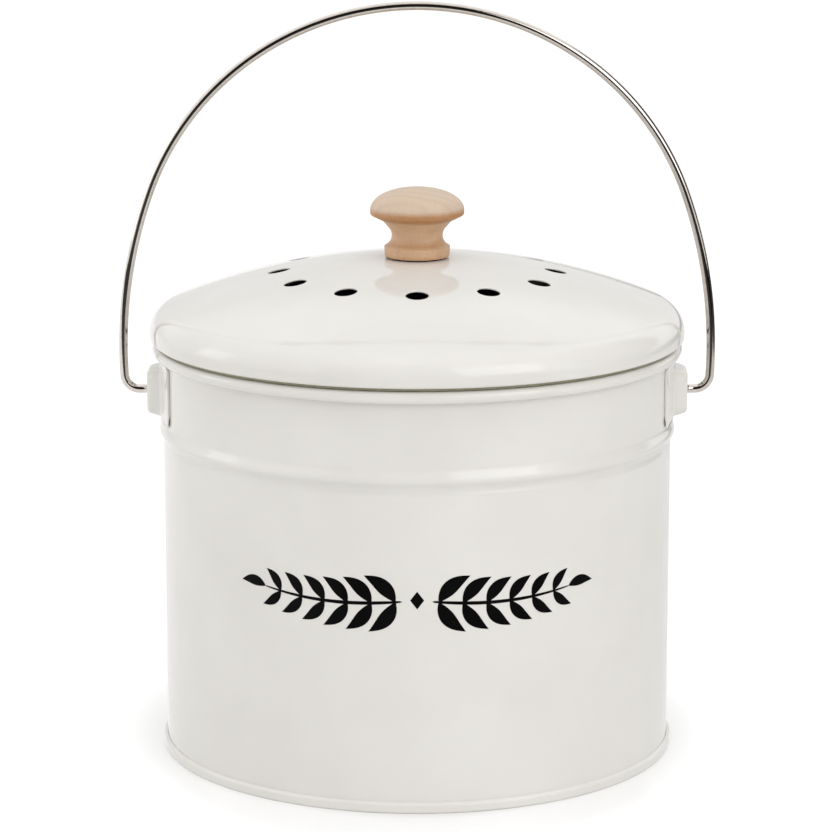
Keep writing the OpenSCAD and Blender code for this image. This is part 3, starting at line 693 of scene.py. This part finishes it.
def bail_grid(sides=32):
    """A circle of the wire's radius at each station, square to the heading, and at each end the
    head's profile: from the axis out to its edge, along it and in to the wire."""
    line, heading = wire_line()
    line = np.vstack([line, line[-2::-1] * [-1, 1]])
    heading = np.concatenate([heading, 180 - heading[-2::-1]])
    caps = np.array([[HEAD_X + dx, PIVOT_Z] for dx in (0, 0, HEAD_T, HEAD_T)])
    cap_r = [0, HEAD_R, HEAD_R, WIRE_R]
    line = np.vstack([caps, line, caps[::-1] * [-1, 1]])
    radius = np.concatenate([cap_r, np.full(len(heading), WIRE_R), cap_r[::-1]])[:, None]
    h = np.radians(np.concatenate([[-90] * 4, heading, [270] * 4]))[:, None]
    t = np.linspace(0, 2 * np.pi, sides, endpoint=False)
    out = radius * np.cos(t)
    x, z = line[:, :1] + out * np.cos(h), line[:, 1:] + out * np.sin(h)
    return np.stack([x, radius * np.sin(t), z], -1)


piece("wire_bail", [(bail_grid(), False, True)], "bail", "bail", WIRE)

# %% [markdown]
# ## The ears
# Each ear is pressed from sheet: a flange curved to the wall, and a hollow pocket for the wire's
# head. Its section changes all the way round, from wide at the sides to steep at the top, so it
# is built as rings: the flange's edge, the foot of the pocket, the edge of its face and the
# hole. Between the rings the corners are softened as a press and a coat of enamel leave them.

# %% Rings and soft corners
CORNER_STEPS, BORDER_N = 8, 14      # steps round a ring's corner, points along its side


def ring(half_w, low, high, radius):
    """A rectangle with round corners as points [across, up], the same number in each."""
    a = np.radians(np.linspace(0, 90, CORNER_STEPS + 1))
    cx, top, foot = half_w - radius, high - radius, low - radius
    corners = [(cx, top, 0), (-cx, top, 90), (-cx, -foot, 180), (cx, -foot, 270)]
    arcs = []
    for x, y, t in corners:
        turn = a + np.radians(t)
        arcs.append(np.stack([x + radius * np.cos(turn), y + radius * np.sin(turn)], 1))
    s = np.linspace(0, 1, BORDER_N + 2)[1:-1, None]
    sides = [arcs[k][-1] * (1 - s) + arcs[(k + 1) % 4][0] * s for k in range(4)]
    return np.vstack([part for pair in zip(arcs, sides) for part in pair])


def softened(stations, cuts, n=6):
    """Rows through a loop of rings: each corner becomes a curve of the second degree that starts
    and ends cut millimetres from it."""
    s = np.array(stations)
    back, ahead = np.roll(s, 1, 0) - s, np.roll(s, -1, 0) - s
    cut = np.array(cuts)[:, None, None]
    back = back / np.linalg.norm(back, axis=2)[..., None] * cut
    ahead = ahead / np.linalg.norm(ahead, axis=2)[..., None] * cut
    q = np.linspace(0, 1, n + 1)[:, None, None, None]
    curve = s + (1 - q) ** 2 * back + q ** 2 * ahead
    return curve.transpose(1, 0, 2, 3).reshape(-1, s.shape[1], 3)


print("a ring has %d points" % len(ring(2, 2, 2, 1)))

# %% Ears
EAR_T, EAR_IN, EAR_ARC, EAR_LOW, EAR_HIGH = 1.0, WALL_R + 0.05, 17.3, 9.8, 14.0
GAP, PLAY = 0.05, 0.1           # between flange and wall, and round the wire in its hole
# half width, reach below and above the pivot, and corners: the pocket's foot and face
FOOT, FACE = (12.2, 9.3, 9.3, 4.2), (8.2, 8.3, 8.3, 3.4)
FOOT_IN, FACE_IN = (11.2, 8.3, 8.3, 3.4), (7.2, 7.3, 7.3, 2.6)
EAR_CUTS = [0.02, 0.4, 1.5, 1.9, 0.3, 0.1, 0.6, 0.6]
LOW_SLIT = 0.5                  # how much further the flange's lower edge stands off the wall


def lift(plan, height):
    """A ring's points at a height above the wall."""
    return np.column_stack([plan, np.full(len(plan), height)])


def ear_grid(side):
    """Rings of [across, up, out] bent round the wall: the angle is across over its radius."""
    reach, edge_w = FACE_X - WALL_R - GAP, np.radians(EAR_ARC) * EAR_IN
    edge, foot, face = ring(edge_w, EAR_LOW, EAR_HIGH, 3.0), ring(*FOOT), ring(*FACE)
    hole = face / np.linalg.norm(face, axis=1)[:, None] * (WIRE_D / 2 + PLAY)
    slit = 0.1 + LOW_SLIT * np.clip(-(edge[:, 1] + 5.0) / 1.5, 0, 1)
    stations = [
        lift(edge, slit), lift(edge, EAR_T), lift(foot, EAR_T), lift(face, reach),
        lift(hole, reach), lift(hole, reach - EAR_T), lift(ring(*FACE_IN), reach - EAR_T),
        lift(ring(*FOOT_IN), GAP),
    ]
    grid = softened(stations, EAR_CUTS)
    t, r = grid[..., 0] / EAR_IN, EAR_IN - GAP + grid[..., 2]
    return np.stack([side * r * np.cos(t), r * np.sin(t), PIVOT_Z + grid[..., 1]], -1)


piece("ear_plate_right", [(ear_grid(1), True, True)], "pail", "ear_right", ENAMEL)
piece("ear_plate_left", [(ear_grid(-1), True, True)], "pail", "ear_left", ENAMEL)

# %% [markdown]
# ## The charcoal pad
# A disc of fibre felt filled with charcoal. It is soft, so its edge is round and its faces dip
# and swell a little, by a few waves of different lengths that cross each other and fade out
# towards the edge. They are in the mesh, because a bump alone leaves the outline straight.

# %% Pad
PAD_R, PAD_LOW, PAD_HIGH, PAD_EDGE, SAG = 71.0, 169.94, 180.44, 2.6, 0.22


def pad_grid(flat_n=26, round_n=8, sides=120):
    """Rings from the middle of the top face over the round edge to the middle of the lower face.
    The waves are sines of x, of y and of both, and always go inwards from the flat faces."""
    a = np.radians(np.linspace(0, 90, round_n))[1:]
    flat = PAD_R - PAD_EDGE
    r = np.concatenate([np.linspace(0, flat, flat_n), flat + PAD_EDGE * np.sin(a)])
    z = np.concatenate([np.full(flat_n, PAD_HIGH), PAD_HIGH - PAD_EDGE + PAD_EDGE * np.cos(a)])
    r, z = np.concatenate([r, r[::-1]]), np.concatenate([z, PAD_LOW + PAD_HIGH - z[::-1]])
    grid = lathe(np.stack([r, z], 1), sides)
    x, y = grid[..., 0], grid[..., 1]
    wave = np.sin(0.21 * x + 1.0) * np.sin(0.17 * y) + 0.5 * np.sin(0.43 * x - 0.31 * y)
    inwards = np.where(z > (PAD_LOW + PAD_HIGH) / 2, -1, 1)[:, None]
    grid[..., 2] += inwards * SAG * (1 + wave / 1.5) * (1 - (r[:, None] / PAD_R) ** 8)
    return grid


pad = piece("felt_pad", [(pad_grid(), False, True)], "filter", "charcoal_pad", FELT)

# %% [markdown]
# ## A plain sprig on the front
# The front carries a plain ornament: two branches that grow from a small lozenge, with pairs of
# leaves that get smaller towards the tips. It could be a mask in the wall's material, but a
# transfer fired into enamel stands a little proud of it. So each leaf is a lens a tenth of a
# millimetre thick, wrapped on the wall, with sixteen points round its section.

# %% Leaves and stems
SPRIG_Z, SPRIG_HALF, PAIRS = 82.5, 72.0, 6
LENS_MID, LENS_HALF = 0.06, 0.05        # the lens's middle above the wall, and half its thickness


def wrap(across, up, out):
    """Points on the wall: the angle is across over the wall's radius, and out is above it."""
    t, r = across / WALL_R, WALL_R + out
    return np.stack([r * np.sin(t), -r * np.cos(t), SPRIG_Z + up], -1)


def blade(line, half):
    """A thin lens along a line of [across, up]: its half-width is laid off square to the line."""
    way = np.gradient(line, axis=0)
    way /= np.linalg.norm(way, axis=1)[:, None]
    v = np.linspace(0, 2 * np.pi, 16, endpoint=False)
    side = half[:, None] * np.cos(v)
    lens = LENS_MID + LENS_HALF * np.sin(v) * np.minimum(1, half / 0.4)[:, None]
    return wrap(line[:, :1] - side * way[:, 1:], line[:, 1:] + side * way[:, :1], lens)


def leaf(foot, angle, length, width, n=30):
    """A leaf from its foot: its half-width is width times the sine of pi times u to the power
    0.85, and its line curls by a tenth of its length, as a half wave does."""
    u = np.linspace(0, 1, n)
    curl = 0.10 * length * np.sin(np.pi * u) * np.sign(angle)
    c, s = np.cos(np.radians(angle)), np.sin(np.radians(angle))
    line = np.array(foot) + np.stack([length * u * c - curl * s, length * u * s + curl * c], 1)
    return blade(line, width * np.sin(np.pi * u ** 0.85))


def rise(x):
    """Height of the stem: it hangs a little between the lozenge and the tip, like a garland."""
    u = np.abs(x) / SPRIG_HALF
    return 3.0 * u ** 2 - 2.2 * np.sin(np.pi * np.clip(u, 0, 1))


print("the stem hangs %.1f mm at its lowest" % -rise(np.linspace(0, SPRIG_HALF, 200)).min())

# %% Sprig
x = np.linspace(5.5, SPRIG_HALF - 11, 60)
taper = 0.85 * (1 - 0.5 * (x / SPRIG_HALF)) * np.sin(np.pi * np.linspace(0, 1, 60)) ** 0.3
branch = [blade(np.stack([x, rise(x)], 1), taper)]
for k, at in enumerate(np.linspace(8, SPRIG_HALF - 18.5, PAIRS)):
    size = 1 - 0.34 * k / (PAIRS - 1)
    tilt = np.degrees(np.arctan((rise(at + 0.5) - rise(at - 0.5))))
    for side in (1, -1):
        branch.append(leaf((at, rise(at)), tilt + side * 44, 15.5 * size, 2.75 * size))
tip = SPRIG_HALF - 11.5
branch.append(leaf((tip, rise(tip)), 4, 11.5, 2.0))
u = np.linspace(-1, 1, 21)
lozenge = blade(np.stack([2.6 * u, 0 * u], 1), 3.4 * (1 - np.abs(u)))
parts = branch + [part * [-1, 1, 1] for part in branch] + [lozenge]
piece("sprig", [(part, False, True) for part in parts], "pail", (), INK)

# %% [markdown]
# ## The pieces that stay as they are
# The collar, the filter's plastic, the washers and the screw have the right shape already, and
# take only their finish.

# %% Finishes for the CAD nodes
kept = {"lid_collar": ENAMEL, "knob_washer": RUBBER, "knob_screw": ZINC, "screw_washer": ZINC,
        "filter_housing": PLASTIC, "filter_grille": PLASTIC}
for name, made in kept.items():
    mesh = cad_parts[name].data
    mesh.materials.clear()
    mesh.materials.append(made)
print("kept:", ", ".join(kept))

# %% [markdown]
# ## The stage
# A pale, slightly glossy table in front of a white backdrop. What the shiny pieces mirror matters
# as much as the light that falls on them. To the camera, the table gets an added glow that grows
# with the distance from the caddy, so that it turns white and keeps the shadow. Close to the foot
# the glow is kept small, which paints a grey shade round the foot besides the real shadow, a little
# narrower at the sides. In mirror images it is a little brighter on the left, and ends in the dark
# towards the viewer and far out on the right. More light would whiten it as well, but would bleach
# the enamel too.

# %% Table
TABLE_HALF, TABLE_EDGE = 30, -0.55
# metres from the middle, where a metre sideways counts as 1.3, and the glow that is seen there; the
# small glow near the foot is painted shade
GLOW_AND_SHADE, SIDEWAYS = ((0.101, 0.02), (0.107, 0.13), (0.132, 0.16), (0.165, 0.35)), (1.3, 1, 1)

corners = TABLE_HALF * np.array([(-1, -1, 0), (1, -1, 0), (1, 1, 0), (-1, 1, 0)])
floor_mesh = bpy.data.meshes.new("floor")
floor_mesh.from_pydata(corners.tolist(), [], [(0, 1, 2, 3)])
floor = bpy.data.objects.new("floor", floor_mesh)
scene.collection.objects.link(floor)
floor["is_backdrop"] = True

table, tree, shader = finish("table", Base_Color=grey(0.86), Roughness=0.07, Specular_IOR_Level=0.4)
ray, place = add(tree, "LightPath"), here(tree)
wide = add(tree, "Mapping", {"Vector": place, "Scale": SIDEWAYS}).outputs["Vector"]
far = add(tree, "VectorMath", {0: wide}, operation="LENGTH").outputs["Value"]
# painted shade: the glow is small close to the foot, so the table is greyer round it
far = ramp(tree, far, *[(reach, grey(level)) for reach, level in GLOW_AND_SHADE])
glow = add(tree, "Emission", {"Color": far, "Strength": 1.0}).outputs["Emission"]
plain, camera = shader.outputs["BSDF"], ray.outputs["Is Camera Ray"]
lit = add(tree, "AddShader", {0: plain, 1: glow}).outputs["Shader"]
seen = add(tree, "MixShader", {"Fac": camera, 1: plain, 2: lit}).outputs["Shader"]

spot = add(tree, "SeparateXYZ", {"Vector": place})
side = span(tree, spot.outputs["X"], -0.5, 0.5, 1.12, 0.78)
past = span(tree, spot.outputs["Y"], TABLE_EDGE, TABLE_EDGE - 0.14, 1.0, 0.05)
aside = span(tree, spot.outputs["X"], 0.8, 0.95, 1.0, 0.08)
bright = sums(tree, "MULTIPLY", sums(tree, "MULTIPLY", side, past), aside)
image = add(tree, "Emission", {"Color": (1, 0.99, 0.98, 1), "Strength": bright}).outputs["Emission"]
both = add(tree, "MixShader", {"Fac": ray.outputs["Is Glossy Ray"], 1: seen, 2: image})
tree.links.new(both.outputs["Shader"], tree.nodes["Material Output"].inputs["Surface"])
floor_mesh.materials.append(table)
print("table ready, mirrored as far as y = %.2f m" % TABLE_EDGE)

# %% [markdown]
# ### The backdrop
# The world is white to the camera, and a dimmer even grey where it lights the caddy. In mirror
# images it is a studio tent with a canopy overhead. Its front is open towards the dark room, and
# a dark screen stands at the right: they draw the dark line along the bright wire.

# %% Backdrop
OPENING, SCREEN = (-0.07, -0.96, 0.22), (0.90, 0.16, 0.41)      # directions of their middles
# by the cosine of the angle from the opening's middle: from the tent's cloth to the dark room
TENT = ((0.0, grey(1)), (0.4, (0.85, 0.83, 0.81, 1)), (0.72, (0.62, 0.59, 0.56, 1)),
        (0.785, (0.012, 0.010, 0.008, 1)))

world = bpy.data.worlds.new("tent")
scene.world = world
world.use_nodes = True
tree = world.node_tree
ray, way = add(tree, "LightPath"), add(tree, "TexCoord").outputs["Generated"]
parts = add(tree, "SeparateXYZ", {"Vector": way})
out = sums(tree, "ABSOLUTE", parts.outputs["X"])
high = sums(tree, "MULTIPLY_ADD", out, 0.75, parts.outputs["Z"])
ahead = add(tree, "VectorMath", {0: way, 1: OPENING}, operation="DOT_PRODUCT").outputs["Value"]
beside = add(tree, "VectorMath", {0: way, 1: SCREEN}, operation="DOT_PRODUCT").outputs["Value"]
screen = ramp(tree, beside, (0.86, grey(1)), (0.90, (0.04, 0.037, 0.034, 1)))
canopy = ramp(tree, high, (0.54, grey(0.86)), (0.68, grey(1.25)))
image = ramp(tree, ahead, *TENT)
for layer in (screen, canopy):
    image = mixed(tree, 1.0, image, layer, blend_type="MULTIPLY")
even = mixed(tree, ray.outputs["Is Glossy Ray"], grey(0.66), image)
camera, through = ray.outputs["Is Camera Ray"], ray.outputs["Is Transmission Ray"]
clear = sums(tree, "ADD", camera, through, use_clamp=True)
level = mixed(tree, clear, even, grey(1))
tree.links.new(level, tree.nodes["Background"].inputs["Color"])
print("tent ready")

# %% [markdown]
# ### The lamps
# Large soft rectangles that all face the middle of the caddy. Two of them show in the enamel, as
# the two highlights on the lid's shoulder, and the others only add light.

# %% Lamps
AIM = Vector((0, 0, 0.13))


def lamp(name, azimuth, height, far, width, tall, power, mirrored=False):
    """A soft rectangular lamp; azimuth, from the front to the right, and height are angles."""
    made = bpy.data.objects.new(name, bpy.data.lights.new(name, "AREA"))
    scene.collection.objects.link(made)
    made.data.shape, made.data.energy = "RECTANGLE", power
    made.data.size, made.data.size_y = width, tall
    a, h = np.radians(azimuth), np.radians(height)
    made.location = Vector((np.sin(a) * np.cos(h), -np.cos(a) * np.cos(h), np.sin(h))) * far + AIM
    made.rotation_euler = (AIM - made.location).to_track_quat("-Z", "Y").to_euler()
    made.visible_glossy = mirrored


lamp("top_lamp", 10, 75, 1.8, 1.5, 1.2, 7.5)
lamp("front_lamp", 36, 25, 2.0, 1.3, 1.2, 11, mirrored=True)
lamp("fill_lamp", -35, 2, 2.0, 1.0, 0.8, 4.9)
lamp("right_lamp", 105, 5, 2.0, 0.8, 0.8, 1.6)
lamp("rim_lamp", -115, 4, 2.0, 0.8, 0.8, 7)
lamp("left_lamp", -96, 17, 2.0, 0.6, 0.8, 2.4, mirrored=True)
print("stage ready")

# %% [markdown]
# ## Sizes
# The last step measures the box round the dressed model.

# %% Sizes and the end
low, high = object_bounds()
